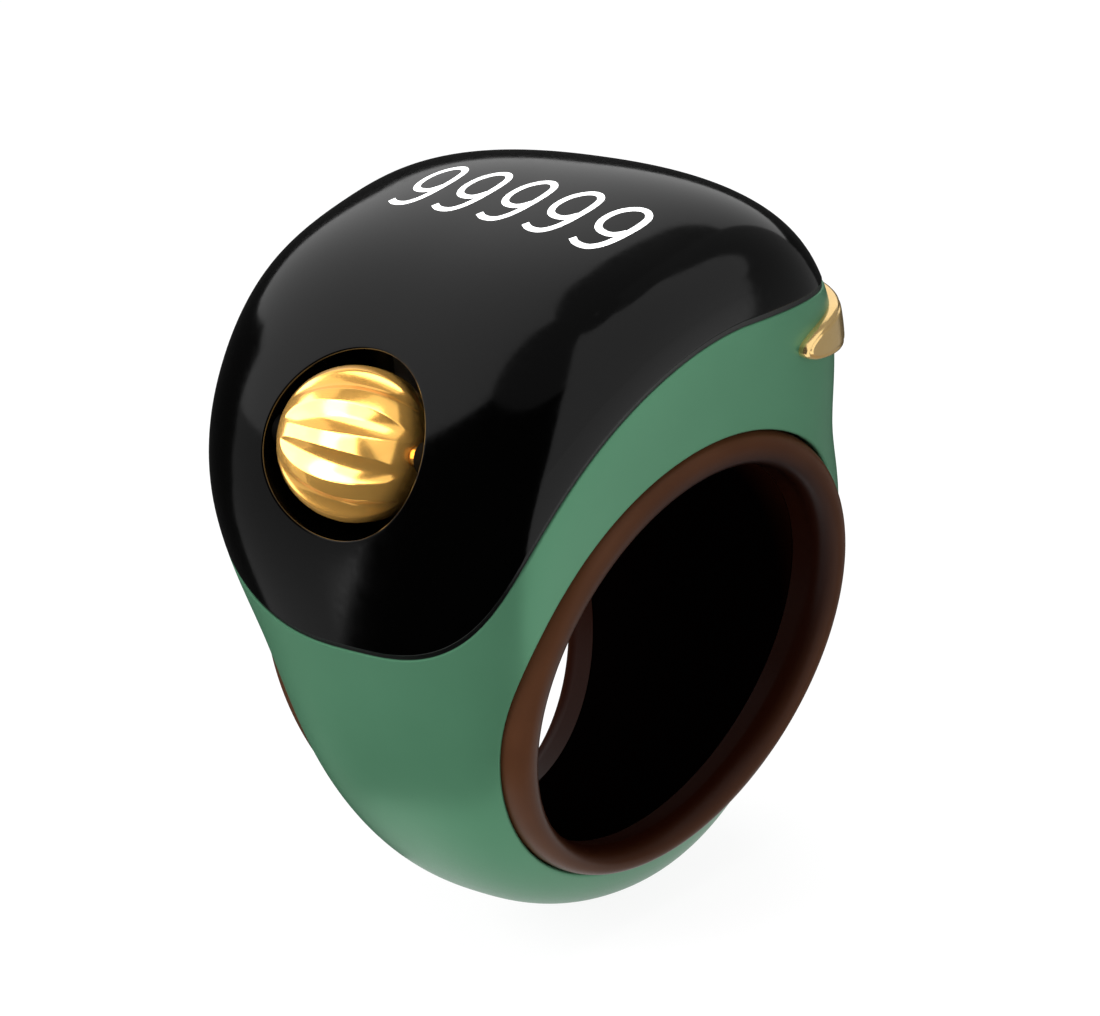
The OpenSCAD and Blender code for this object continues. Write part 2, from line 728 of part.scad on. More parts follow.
module rear_band() {
    color(gold) difference() {
        intersection() {
            dome(band_stand, band_stand);
            band_space();
        }
        dome(liner_room / 5, liner_room / 5);
    }
}

// Depth at which the rear surface lies behind the pins
function rear_over(low, high, left) =
    left == 0 ? low :
    let (mid = (low + high) / 2)
    over([mid, band_z])[0] > pin_x + pin_r ? rear_over(mid, high, left - 1) : rear_over(low, mid, left - 1);
pin_back = rear_over(0, half_d * share_at(atan((band_z - middle_rise) / half_d)) * 0.999, 20) - liner_room * 3;
// The band's two pins, which run forwards through the rear wall
module band_pin_shapes(r) {
    for (x = [-pin_x, pin_x]) translate([x, pin_back, band_z])
        rotate([90, 0, 0]) cylinder(r = r, h = pin_l);
}
module band_pins() {
    color(steel) band_pin_shapes(pin_r);
}

top_cap();
ring_body();
cap_seal();
inner_liner();
bead_right();
bead_left();
roller_drum();
roller_axle();
roller_magnet();
roller_cradle();
press_switch();
switch_plunger();
cradle_springs();
hall_sensor();
inner_frame();
frame_screws();
battery_cell();
battery_tabs();
circuit_board();
controller_chip();
radio_chip();
board_parts();
antenna();
display_panel();
display_frame();
display_flex();
vibration_motor();
motor_pad();
charging_contacts();
rear_band();
band_pins();
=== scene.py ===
"""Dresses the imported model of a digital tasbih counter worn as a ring, and sets up its picture.

All sizes in the classes are in millimetres, and every mesh is written in metres. X is the axis of
the finger hole, -Y is the roller's side and +Z points up to the display.
"""
import logging
import math
from dataclasses import dataclass, field
from enum import Enum

import bmesh
import bpy
import numpy as np
from bpy.types import Material, Mesh, NodeSocket, NodeTree, Object
from mathutils import Matrix


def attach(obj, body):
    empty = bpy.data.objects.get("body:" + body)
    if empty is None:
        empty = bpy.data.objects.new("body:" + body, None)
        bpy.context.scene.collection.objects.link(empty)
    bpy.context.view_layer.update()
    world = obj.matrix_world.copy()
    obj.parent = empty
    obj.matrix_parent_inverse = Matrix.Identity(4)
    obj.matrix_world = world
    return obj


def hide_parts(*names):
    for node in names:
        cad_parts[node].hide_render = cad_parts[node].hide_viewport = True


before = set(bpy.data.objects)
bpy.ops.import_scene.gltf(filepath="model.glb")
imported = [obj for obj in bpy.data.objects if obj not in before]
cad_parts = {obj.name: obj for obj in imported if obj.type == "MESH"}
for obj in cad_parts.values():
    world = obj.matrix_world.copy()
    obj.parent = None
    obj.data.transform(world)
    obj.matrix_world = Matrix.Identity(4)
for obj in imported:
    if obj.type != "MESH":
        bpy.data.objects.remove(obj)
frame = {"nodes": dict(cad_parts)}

log = logging.getLogger("tasbih_ring")

MM = 0.001
EDGE_ROWS = 6
WALL_ROWS = 6
CAST_HALVINGS = 42
MEET_HALVINGS = 50
AIM = np.array([0.0, 0.0, 5.0])
WHITE = (1.0, 1.0, 1.0, 1.0)
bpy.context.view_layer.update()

Triple = tuple[float, float, float]
Pair = tuple[float, float]
Array = np.ndarray


class Body(Enum):
    """The bodies that the dressed pieces ride on."""

    HOUSING = "housing"
    ROLLER = "roller"


def unit(v: Array) -> Array:
    """Vectors scaled to length one along the last axis."""
    return v / np.maximum(np.linalg.norm(v, axis=-1, keepdims=True), 1e-12)


def vec(x, y, z) -> Array:
    """Points or directions from their coordinates, each of them a number or an array."""
    return np.stack(np.broadcast_arrays(x, y, z), -1).astype(float)


def slerp(a: Array, b: Array, t: Array) -> Array:
    """Directions on the great circles from a to b.

    Args:
        a: Start directions, columns x 3 or rows x columns x 3, of length one.
        b: End directions, of the same shape.
        t: Shares of the way, one per row.

    Returns:
        Directions, rows x columns x 3.
    """
    angle = np.arccos(np.clip((a * b).sum(-1, keepdims=True), -1, 1))
    t = t[:, None, None]
    return (np.sin((1 - t) * angle) * a + np.sin(t * angle) * b) / np.sin(angle)


def linked(name: str, data) -> Object:
    """A new object in the scene with that mesh, lamp or camera."""
    made = bpy.data.objects.new(name, data)
    bpy.context.scene.collection.objects.link(made)
    return made


def full_turn(count: int) -> Array:
    """Angles evenly spread over a full turn."""
    return np.linspace(0, 2 * math.pi, count, endpoint=False)


def points_at(places: Array, shares: Array, points: Array) -> Array:
    """Points of a path at places among the shares of its own points."""
    return np.stack([np.interp(places, shares, row) for row in points.T], -1)


def across(v: Array, axis: Array) -> Array:
    """The parts of vectors that stand square to axes of length one, scaled to length one."""
    return unit(v - (v * axis).sum(-1, keepdims=True) * axis)


def spread(points: Array) -> Array:
    """Share of the path's length at each of its points, from 0 to 1."""
    steps = np.linalg.norm(np.diff(points, axis=0), axis=-1)
    run = np.concatenate([[0.0], np.cumsum(steps)])
    return run / run[-1]


@dataclass
class OuterForm:
    """The domed outer form that cap and ring share.

    Its side outline is an ellipse times a smooth curve of shares, and its width falls off towards
    that outline as a superellipse whose powers change from the front to the rear.
    """

    half_h: float = 17.85
    half_d: float = 14.5
    half_w: float = 7.95
    middle: float = 3.0
    lean: float = math.tan(math.radians(15.5))
    splay: float = math.tan(math.radians(2.8))
    least_side: float = 0.5
    most_fill: float = 9.0
    square_share: Pair = (12.3, 5.8)
    round_share: Pair = (2.95, 2.01)
    reach_share: tuple[float, ...] = (1.025, 0.968, 1.086, 1.117, 1.033, 1.017, 1.036, 1.032,
                                      0.913, 0.919, 0.926, 0.91, 0.935, 0.997, 1.02, 1.012)
    bend: Array = field(init=False)

    def __post_init__(self) -> None:
        """Solves for the bends of the periodic cubic curve through the shares."""
        n = len(self.reach_share)
        y = np.array(self.reach_share)
        step = 2 * math.pi / n
        ring = np.eye(n) * 4 + np.roll(np.eye(n), 1, 0) + np.roll(np.eye(n), -1, 0)
        curl = (np.roll(y, -1) - 2 * y + np.roll(y, 1)) / step
        self.bend = np.linalg.solve(ring * step / 6, curl)

    def reach(self, phi: Array) -> Array:
        """Share of the ellipse at an outline angle, by the cubic through the shares."""
        y = np.array(self.reach_share)
        n = len(y)
        step = 2 * math.pi / n
        turn = np.mod(phi, 2 * math.pi) / step
        i = np.floor(turn).astype(int) % n
        b = turn - np.floor(turn)
        a = 1 - b
        j = (i + 1) % n
        return (a * y[i] + b * y[j]
                + ((a ** 3 - a) * self.bend[i] + (b ** 3 - b) * self.bend[j]) * step ** 2 / 6)

    def angle(self, y: Array, z: Array) -> Array:
        """Outline angle of a point, from the rear over the top."""
        return np.arctan2((z - self.middle) / self.half_h, y / self.half_d)

    def fill(self, y: Array, z: Array) -> tuple[Array, Array]:
        """Outline angle of a place in the side view, and its share of the way to the outline."""
        phi = self.angle(y, z)
        return phi, np.hypot(y / self.half_d, (z - self.middle) / self.half_h) / self.reach(phi)

    def outline(self, phi: Array) -> Array:
        """Points of the side outline at outline angles, on the middle plane."""
        r = self.reach(phi)
        return vec(0, self.half_d * r * np.cos(phi), self.half_h * r * np.sin(phi) + self.middle)

    def powers(self, phi: Array) -> tuple[Array, Array]:
        """The two powers of the superellipse, blended by the cosine of the outline angle."""
        blend = np.cos(phi)
        pairs = (self.square_share, self.round_share)
        return tuple((f + r) / 2 - (f - r) / 2 * blend for f, r in pairs)

    def level(self, p: Array) -> Array:
        """Below zero inside, zero on the surface: |x / side| ** round + reach ** square - 1."""
        x, y, z = p[..., 0], p[..., 1], p[..., 2]
        phi, u = self.fill(y, z)
        square, rounded = self.powers(phi)
        side = np.maximum(self.half_w + z * self.lean + y * self.splay, self.least_side)
        return (np.abs(x) / side) ** rounded + np.minimum(u, self.most_fill) ** square - 1

    def cast(self, start: Array, way: Array, near: float = 0.0, far: float = 45.0) -> Array:
        """Where rays leave the form, by halving the stretch between near and far.

        Args:
            start: Start points, which lie inside at the near distance.
            way: Directions, of a shape that broadcasts with it.
            near: A distance that is inside the form.
            far: A distance that is outside it.

        Returns:
            Points of the surface.
        """
        shape = np.broadcast_shapes(start.shape, way.shape)[:-1]
        low = np.full(shape, near)
        high = np.full(shape, far)
        for _ in range(CAST_HALVINGS):
            mid = (low + high) / 2
            inside = self.level(start + mid[..., None] * way) < 0
            low = np.where(inside, mid, low)
            high = np.where(inside, high, mid)
        return start + high[..., None] * way

    def normal(self, p: Array) -> Array:
        """Outward normal: the slope of the level, by differences either way along each axis."""
        h = 2e-4
        parts = [self.level(p + h * e) - self.level(p - h * e) for e in np.eye(3)]
        return unit(np.stack(parts, -1))

    def over(self, y: Array, z: Array) -> Array:
        """Points of the +X half over places of the side view."""
        phi, u = self.fill(y, z)
        square, rounded = self.powers(phi)
        side = self.half_w + z * self.lean + y * self.splay
        return vec(side * np.clip(1 - u ** square, 0, 1) ** (1 / rounded), y, z)


@dataclass
class Seam:
    """The seam between cap and ring: an arc, then a slightly falling line, seen from the side."""

    form: OuterForm
    radius: float = 14.6
    back: float = 1.05
    rise: float = 1.95
    fall: float = math.tan(math.radians(3))
    arc_share: float = 0.62
    core: Triple = (0.0, 1.0, 8.03)
    fine: int = 6000

    def path(self, t: Array) -> Array:
        """Points of the +X side, from the front at 0 to the rear at 1, crowded at both ends."""
        s = (1 - np.cos(math.pi * t)) / 2
        front = self.meet(self.arc, math.pi / 2, math.radians(200))
        rear = self.meet(self.line, self.back, self.form.half_d * 2)
        turn = front + (math.pi / 2 - front) * s / self.arc_share
        reach = self.back + (rear - self.back) * (s - self.arc_share) / (1 - self.arc_share)
        return self.form.over(*np.where(s < self.arc_share, self.arc(turn), self.line(reach)))

    def arc(self, turn: Array) -> tuple[Array, Array]:
        """The arc at a turn from the rear."""
        return self.back + self.radius * np.cos(turn), self.rise + self.radius * np.sin(turn)

    def line(self, y: Array) -> tuple[Array, Array]:
        """The falling line at a depth."""
        return y, self.rise + self.radius - (y - self.back) * self.fall

    def meet(self, curve, low: float, high: float) -> float:
        """Where a curve of the middle plane leaves the form, by halving."""
        for _ in range(MEET_HALVINGS):
            mid = (low + high) / 2
            inside = self.form.level(vec(0, *curve(mid))) < 0
            low, high = (mid, high) if inside else (low, mid)
        return low

    def half(self, count: int, drop: float = 0.0) -> Array:
        """The seam on the +X side, at places evenly spread along its length.

        Args:
            count: How many points.
            drop: How far the cone through the seam is lowered before it meets the surface.

        Returns:
            Points from the front to the rear.
        """
        t = np.linspace(0, 1, self.fine)
        points = self.path(np.interp(np.linspace(0, 1, count), spread(self.path(t)), t))
        points[[0, -1], 0] = 0
        core = np.array(self.core)
        if drop:
            points = self.form.cast(core - vec(0, 0, drop), unit(points - core))
            points[[0, -1], 0] = 0
        return points


def mirrored(points: Array) -> Array:
    """Points on the other side of the middle plane."""
    return points * vec(-1, 1, 1)


def closed(half: Array) -> Array:
    """A loop from its +X half, whose ends lie on the middle plane."""
    return np.concatenate([half, mirrored(half[..., -2:0:-1, :])], -2)


def rounded_edge(edge: Array, normal: Array, off: Array, r: float, rows: int) -> Array:
    """A quarter round that turns a surface's edge inwards.

    Args:
        edge: Points of the sharp edge, columns x 3.
        normal: The surface's outward normal at each.
        off: The direction in the surface that leaves it across the edge.
        r: Radius of the round.
        rows: Rows of the result.

    Returns:
        Rows x columns x 3, from the surface to below the edge.
    """
    a = np.linspace(0, math.pi / 2, rows)[:, None, None]
    return edge - r * off * (1 - np.sin(a)) - r * normal * (1 - np.cos(a))


def along(points: Array) -> Array:
    """Direction of travel along a closed loop, by differences."""
    return unit(np.roll(points, -1, 0) - np.roll(points, 1, 0))


class Piece:
    """Collects grids of points and turns them into one mesh object in metres."""

    def __init__(self, name: str) -> None:
        """Starts an empty piece with that name."""
        self.name = name
        self.verts: list[Array] = []
        self.quads: list[Array] = []
        self.uvs: list[Array] = []

    def add(self, points: Array, wrap: bool = False, flip: bool = False) -> "Piece":
        """Adds one grid, rows x columns x 3.

        Args:
            points: The grid's points in millimetres.
            wrap: Whether its last column joins the first.
            flip: Whether its faces turn round.

        Returns:
            The piece itself.
        """
        rows, cols = points.shape[:2]
        n = cols if wrap else cols - 1
        i, j = np.meshgrid(np.arange(rows - 1), np.arange(n), indexing="ij")
        k = (j + 1) % cols
        below = (i + 1) * cols
        quad = np.stack([i * cols + j, i * cols + k, below + k, below + j], -1)
        quad += sum(map(len, self.verts))
        uv = np.stack([np.stack([j, j + 1, j + 1, j], -1) / n,
                       np.stack([i, i, i + 1, i + 1], -1) / (rows - 1)], -1)
        if flip:
            quad, uv = quad[..., ::-1], uv[..., ::-1, :]
        self.verts.append(points.reshape(-1, 3))
        self.quads.append(quad.reshape(-1, 4))
        self.uvs.append(uv.reshape(-1, 2))
        return self

    def build(self, merge: float = 0.0, smooth: bool = True) -> Object:
        """Makes the object.

        Args:
            merge: Distance in millimetres within which points become one, or 0.
            smooth: Whether its faces are shaded smooth.

        Returns:
            The new object, linked to the scene.
        """
        verts, quads, uvs = (np.concatenate(v) for v in (self.verts, self.quads, self.uvs))
        mesh = bpy.data.meshes.new(self.name)
        mesh.from_pydata((verts * MM).tolist(), [], quads.tolist())
        layer = mesh.uv_layers.new(name="UVMap")
        layer.data.foreach_set("uv", uvs.ravel().astype(np.float32))
        mesh.update()
        piece = linked(self.name, mesh)
        if merge:
            weld(mesh, merge * MM)
        if smooth:
            mesh.shade_smooth()
        return piece


def weld(mesh: Mesh, distance: float) -> None:
    """Merges doubled points, and drops faces that have shrunk to nothing."""
    work = bmesh.new()
    work.from_mesh(mesh)
    bmesh.ops.remove_doubles(work, verts=work.verts, dist=distance)
    bmesh.ops.dissolve_degenerate(work, dist=distance, edges=work.edges)
    work.to_mesh(mesh)
    work.free()


@dataclass(frozen=True)
class PaintedShade:
    """Painted shade: a change of colour with the distance in metres from an axis or a plane through
    the origin.
    """

    colour: Triple
    start: float
    stop: float
    weight: Triple = (0, 1, 1)


class Tree:
    """Short calls for filling one node tree."""

    def __init__(self, tree: NodeTree) -> None:
        """Empties the tree."""
        self.tree = tree
        tree.nodes.clear()

    def new(self, kind: str):
        """A new shader node of a kind."""
        return self.tree.nodes.new("ShaderNode" + kind)

    def plug(self, value, target: NodeSocket) -> None:
        """Links another node's socket to an input, or gives the input a value."""
        if isinstance(value, NodeSocket):
            self.tree.links.new(value, target)
        else:
            target.default_value = value

    def node(self, kind: str, output: int | str, inputs: dict, **values) -> NodeSocket:
        """Adds a node.

        Args:
            kind: The shader node's kind.
            output: Which of its outputs is wanted.
            inputs: Values, or other nodes' sockets, for its inputs.
            values: Its properties.

        Returns:
            That output's socket.
        """
        made = self.new(kind)
        for key, value in values.items():
            setattr(made, key, value)
        for key, value in inputs.items():
            self.plug(value, made.inputs[key])
        return made.outputs[output]

    def glow(self, kind: str, strength: float):
        """A white emission or background of a strength."""
        return self.node(kind, 0, {"Color": WHITE, "Strength": strength})

    def seen_rays(self):
        """A value that is 1 for camera, glossy and transmission rays, and 0 for the rest."""
        path = self.new("LightPath").outputs
        seen = self.maths("MAXIMUM", path["Is Camera Ray"], path["Is Glossy Ray"])
        return self.maths("MAXIMUM", seen, path["Is Transmission Ray"])

    def maths(self, operation: str, first, second):
        """The result of a sum on two values."""
        return self.node("Math", 0, {0: first, 1: second}, operation=operation)

    def mix(self, share, first, second):
        """Two shaders mixed by a share of the second."""
        return self.node("MixShader", 0, {0: share, 1: first, 2: second})


class Nodes(Tree):
    """Short calls for building one node material."""

    def __init__(self, name: str) -> None:
        """Starts a material with only a shader and an output."""
        self.material = bpy.data.materials.new(name)
        self.material.use_nodes = True
        super().__init__(self.material.node_tree)
        self.surface = self.new("OutputMaterial").inputs["Surface"]
        self.shader = self.new("BsdfPrincipled")
        self.plug(self.shader.outputs["BSDF"], self.surface)

    def place(self, scale: Triple = (1, 1, 1)):
        """Object coordinates, stretched by a scale along each axis."""
        coord = self.node("TexCoord", "Object", {})
        return self.node("Mapping", "Vector", {"Vector": coord, "Scale": scale})

    def noise(self, per_metre: float, detail: float = 2.0, roughness: float = 0.5,
              stretch: Triple = (1, 1, 1)):
        """A noise pattern's value, at so many cells to a metre."""
        return self.node("TexNoise", "Fac", {
            "Vector": self.place(stretch), "Scale": per_metre, "Detail": detail,
            "Roughness": roughness})

    def between(self, value, low: float, high: float, start: float = 0.3, stop: float = 0.7):
        """A value spread from one range to another."""
        return self.node("MapRange", "Result", {
            "Value": value, "From Min": start, "From Max": stop, "To Min": low, "To Max": high})

    def with_painted_shade(self, colour, painted_shade: PaintedShade):
        """A colour mixed towards the painted shade's own colour, all at its start and none past its
        stop.
        """
        far = self.node("VectorMath", "Value", {0: self.place(painted_shade.weight)}, operation="LENGTH")
        share = self.between(far, 1.0, 0.0, painted_shade.start, painted_shade.stop)
        return self.node("Mix", 2, {0: share, 6: colour, 7: (*painted_shade.colour, 1)},
                         data_type="RGBA")

    def ramp(self, value, stops: dict[float, Triple]):
        """A colour ramp between two stops over a value."""
        made = self.new("ValToRGB")
        for element, (at, colour) in zip(made.color_ramp.elements, stops.items()):
            element.position = at
            element.color = (*colour, 1)
        self.plug(value, made.inputs["Fac"])
        return made.outputs["Color"]

    def set(self, **values) -> None:
        """Sets or links the shader's own sockets; an underscore stands for a space."""
        for key, value in values.items():
            self.plug(value, self.shader.inputs[key.replace("_", " ")])


@dataclass(frozen=True)
class Finish:
    """A finish: two close colours, its gloss and relief, its patches and grains to a metre, and any
    painted shade.
    """

    name: str
    colour: Triple
    shade: Triple
    rough: Pair
    metallic: float = 0.0
    coat: float = 0.0
    specular: float = 0.5
    patches: float = 260.0
    grains: float = 9000.0
    relief: float = 2e-7
    stretch: Triple = (1, 1, 1)
    painted_shade: PaintedShade | None = None

    def build(self) -> Material:
        """The node material: cloudy colour, with roughness and bump from a fine grain, and painted
        shade where given.
        """
        n = Nodes(self.name)
        cloud = n.noise(self.patches, 3.0, 0.5, self.stretch)
        colour = n.ramp(cloud, {0.35: self.shade, 0.65: self.colour})
        if self.painted_shade:
            colour = n.with_painted_shade(colour, self.painted_shade)
        grain = n.noise(self.grains, 2.0, 0.55, self.stretch)
        relief = n.node("Bump", "Normal", {"Height": grain, "Distance": self.relief})
        n.set(Base_Color=colour, Roughness=n.between(grain, *self.rough), Normal=relief,
              Metallic=self.metallic, Coat_Weight=self.coat, Specular_IOR_Level=self.specular)
        return n.material


def grey(value: float) -> Triple:
    """One grey as a colour."""
    return (value, value, value)


# Every finish of the object, under the names of the nodes that wear it.
FINISHES: dict[str, Finish] = {
    "top_cap": Finish(
        "gloss_black", grey(0.0004), grey(0.0003), (0.09, 0.13), specular=0.23, patches=90,
        grains=2500, relief=1e-7),
    "ring_body": Finish(
        "satin_green", (0.08, 0.216, 0.125), (0.074, 0.203, 0.116), (0.33, 0.39), metallic=0.42,
        specular=0.12, patches=120, grains=14000, relief=6e-7),
    # The bead's inner slope turns a deep red-brown within 9.6 to 10.8 mm of the hole's axis:
    # painted shade of the finger hole.
    "bead_right bead_left": Finish(
        "resin_brown", (0.066, 0.0245, 0.01), (0.056, 0.0205, 0.0083), (0.3, 0.38),
        specular=0.09, relief=5e-7, painted_shade=PaintedShade((0.012, 0.0022, 0.0006), 0.0096, 0.0108)),
    # The liner is a much darker copy of the bead's brown resin, and it turns near-black within 6 mm
    # of the middle plane, blending back by 10 mm: painted shade inside the finger hole.
    "inner_liner": Finish(
        "resin_bore_painted_shade", (0.013, 0.0028, 0.001), (0.01, 0.0022, 0.0008), (0.6, 0.7),
        specular=0.0, relief=5e-7, painted_shade=PaintedShade((0.0006, 0.0003, 0.0003), 0.006, 0.01, (1, 0, 0))),
    # The cradle is black moulded plastic like the frame, but it is darkened further to near-black
    # as painted shade of the window's recess, where it is seen.
    "roller_cradle": Finish(
        "cradle_plastic_painted_shade", grey(0.002), grey(0.0014), (0.6, 0.7), specular=0.08, grains=6000,
        relief=2e-6),
    "cap_seal": Finish("gasket_black", grey(0.004), grey(0.003), (0.35, 0.5)),
    "roller_drum roller_axle": Finish(
        "polished_gold", (1.0, 0.55, 0.13), (0.95, 0.5, 0.11), (0.17, 0.21), metallic=0.78,
        specular=0.2, grains=7000, relief=1e-7),
    "rear_band": Finish(
        "band_gold", (1.0, 0.7, 0.3), (0.95, 0.64, 0.26), (0.15, 0.2), metallic=0.9,
        specular=0.2, grains=7000, relief=1e-7),
    "roller_magnet press_switch cradle_springs frame_screws antenna vibration_motor "
    "band_pins": Finish(
        "bright_steel", grey(0.55), grey(0.48), (0.25, 0.36), metallic=1.0, grains=16000,
        stretch=(0.1, 1, 1)),
    "switch_plunger inner_frame display_frame": Finish(
        "moulded_plastic", grey(0.016), grey(0.011), (0.45, 0.6), grains=6000, relief=4e-6),
    "battery_cell": Finish(
        "battery_wrap", (0.34, 0.36, 0.4), (0.27, 0.29, 0.33), (0.35, 0.5), metallic=0.6),
    "circuit_board": Finish(
        "solder_mask", (0.01, 0.085, 0.035), (0.007, 0.065, 0.026), (0.25, 0.4), coat=0.3),
    "hall_sensor controller_chip radio_chip": Finish(
        "chip_epoxy", grey(0.012), grey(0.009), (0.5, 0.65), relief=2e-6),
    "battery_tabs board_parts charging_contacts": Finish(
        "contact_gold", (0.85, 0.6, 0.27), (0.76, 0.51, 0.2), (0.25, 0.35), metallic=1.0),
    "display_panel": Finish(
        "display_glass", (0.006, 0.007, 0.009), (0.004, 0.004, 0.006), (0.05, 0.12), coat=0.6),
    "display_flex": Finish("ribbon_film", (0.42, 0.17, 0.03), (0.34, 0.13, 0.02), (0.3, 0.45)),
    "motor_pad": Finish("foam_pad", grey(0.03), grey(0.02), (0.85, 0.95), grains=5000, relief=3e-5),
}


def finishes() -> dict[str, Material]:
    """Builds each finish once, and gives it under the name of each of its nodes."""
    made: dict[str, Material] = {}
    for nodes, finish in FINISHES.items():
        made.update(dict.fromkeys(nodes.split(), finish.build()))
    return made


def dress(piece: Object, material: Material) -> None:
    """Gives a piece one material."""
    piece.data.materials.clear()
    piece.data.materials.append(material)


def settle(piece: Object, body: Body, slot: str, *nodes: str) -> None:
    """Puts a piece on its body, hides the nodes that it replaces, and reports it; its slot is not
    used.
    """
    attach(piece, body.value)
    if nodes:
        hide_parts(*nodes)
    log.info("%s rides on %s, %d faces", piece.name, body.value, len(piece.data.polygons))


@dataclass
class Window:
    """The oval window in front of the roller."""

    middle: Triple = (0.0, -12.593, 13.3)
    tilt: float = math.radians(14)
    half_w: float = 4.73
    half_h: float = 4.18
    lead: float = 6.0

    @property
    def out(self) -> Array:
        """Direction in which the window faces."""
        return vec(0, -math.cos(self.tilt), math.sin(self.tilt))

    @property
    def up(self) -> Array:
        """Direction up the window's slope."""
        return vec(0, math.sin(self.tilt), math.cos(self.tilt))

    def rim(self, turn: Array, form: OuterForm) -> Array:
        """Points of the rim on the surface: the oval's points moved along the window's axis."""
        flat = (self.middle + self.half_w * np.cos(turn)[:, None] * vec(1, 0, 0)
                + self.half_h * np.sin(turn)[:, None] * self.up)
        return form.cast(flat - self.out * self.lead, self.out, 0.0, 2 * self.lead)


@dataclass
class Cap:
    """The gloss black cap with its window, and the gasket under it."""

    form: OuterForm
    seam: Seam
    window: Window
    columns: int = 192
    rows: int = 150
    edge_r: float = 0.07
    rim_r: float = 0.1
    wall_depth: float = 1.0
    tube_depth: float = 1.7
    seal_sink: float = 0.1
    seal_reach: float = 0.32
    bend_share: float = 0.3
    bearing_share: float = 0.45
    crowd_share: float = 0.02
    start_share: float = 0.12
    tail_share: float = 0.4
    tail_sink_share: float = 0.6
    seal_columns: int = 260
    fine: int = 1500
    finer: int = 4001
    rim_points: int = 800

    def columns_of(self) -> tuple[Array, Array]:
        """Pairs a rim point with a seam point for each column of the +X half.

        Returns:
            Turns round the window and shares along the seam, half by length and half by bearing.
        """
        core = np.array(self.seam.core)
        axis = unit(self.window.middle - core)
        side = vec(1, 0, 0)
        down = unit(np.cross(side, axis))

        def bearing(points: Array) -> Array:
            """Turn about the window's direction, from straight down through +X."""
            d = unit(points - core)
            return np.arctan2(d @ side, d @ down)

        fine = self.seam.half(self.fine)
        b = np.maximum.accumulate(np.abs(bearing(fine)))
        b = (b - b[0]) / (b[-1] - b[0])
        share = np.linspace(0, 1, self.fine)
        mixed = (1 - self.bearing_share) * share + self.bearing_share * b
        places = np.interp(np.linspace(0, 1, self.columns + 1), mixed, share)
        aim = np.interp(places, share, b) * math.pi
        turn = np.linspace(-math.pi / 2, math.pi / 2, self.rim_points)
        rim_b = np.abs(bearing(self.window.rim(turn, self.form)))
        return np.interp(aim, rim_b, turn), places

    def build(self) -> Object:
        """The shell: curves that leave the window's rim and meet the seam squarely."""
        turns, places = self.columns_of()
        fine = self.seam.half(self.finer)
        seam = points_at(places, np.linspace(0, 1, len(fine)), fine)
        core = np.array(self.seam.core)
        seam = self.form.cast(core, unit(seam - core))
        seam[[0, -1], 0] = 0
        rim = self.window.rim(turns, self.form)
        rim[[0, -1], 0] = 0
        seam, rim = closed(seam), closed(rim)

        rim_n, seam_n = self.form.normal(rim), self.form.normal(seam)
        rim_off = unit(np.cross(rim_n, along(rim)))
        rim_off *= np.sign((rim_off * (self.window.middle - rim)).sum(-1, keepdims=True))
        seam_off = unit(np.cross(seam_n, along(seam)))
        seam_off *= -np.sign(seam_off[0, 2])

        rim_round = rounded_edge(rim, rim_n, rim_off, self.rim_r, EDGE_ROWS + 1)[::-1]
        seam_round = rounded_edge(seam, seam_n, seam_off, self.edge_r, EDGE_ROWS)
        a, b = unit(rim_round[-1] - core), unit(seam_round[0] - core)
        t = np.linspace(0, 1, self.rows)
        t = (t + self.crowd_share * np.sin(2 * math.pi * t))[1:-1]
        bend = self.bend_share * np.arccos(np.clip((a * b).sum(-1, keepdims=True), -1, 1))
        knee_a, knee_b = (p * np.cos(bend) - across(off, p) * np.sin(bend)
                          for p, off in ((a, rim_off), (b, seam_off)))
        first, middle, last = slerp(a, knee_a, t), slerp(knee_a, knee_b, t), slerp(knee_b, b, t)
        way = slerp(slerp(first, middle, t), slerp(middle, last, t), t)
        face = self.form.cast(core, way, 1.0)
        steps = np.linspace(1, self.start_share, WALL_ROWS)[:, None, None]
        tube = rim_round[0] - self.window.out * self.tube_depth * steps
        inward = unit(core - seam_round[-1])
        wall = seam_round[-1] + inward * self.wall_depth * steps[::-1]
        grid = np.concatenate([tube, rim_round, face, seam_round, wall])
        return Piece("cap_shell").add(grid, wrap=True, flip=True).build()

    def gasket(self) -> Object:
        """The gasket: a strip that bridges the seam a little below the surface."""
        high = self.seam.half(self.seal_columns)
        low = self.seam.half(self.seal_columns, drop=self.seal_reach)
        tail = (high - low) * self.tail_share
        grid = np.stack([high + tail, high, (high + low) / 2, low, low - tail])
        core = np.array(self.seam.core)
        grid = self.form.cast(core, unit(grid - core), 1.0)
        tip = self.tail_sink_share
        sink = np.array([tip, 1, 1, 1, tip])[:, None, None] * self.seal_sink
        grid = grid - self.form.normal(grid) * sink
        grid[:, [0, -1], 0] = 0
        return Piece("seam_gasket").add(closed(grid), wrap=True, flip=True).build()


@dataclass
class Side:
    """The plane of one side of the ring, in which the bead is seated."""

    form: OuterForm

    @property
    def foot(self) -> Array:
        """The side's point on the finger hole's axis."""
        return vec(self.form.half_w, 0, 0)

    @property
    def out(self) -> Array:
        """Outward normal of the leaning, splayed side."""
        return unit(vec(1, -self.form.splay, -self.form.lean))

    @property
    def rear(self) -> Array:
        """Direction in the side's plane towards the rear."""
        return across(vec(0, 1, 0), self.out)

    @property
    def up(self) -> Array:
        """Direction up in the side's plane."""
        return np.cross(self.out, self.rear)

    def spoke(self, turn: Array) -> Array:
        """Directions in the side's plane at turns from the rear."""
        return np.cos(turn)[..., None] * self.rear + np.sin(turn)[..., None] * self.up

    def circle(self, turn: Array, r, height) -> Array:
        """Points at a turn, a radius and a height over the side's plane."""
        turn, r, height = np.broadcast_arrays(turn, r, height)
        return self.foot + r[..., None] * self.spoke(turn) + height[..., None] * self.out


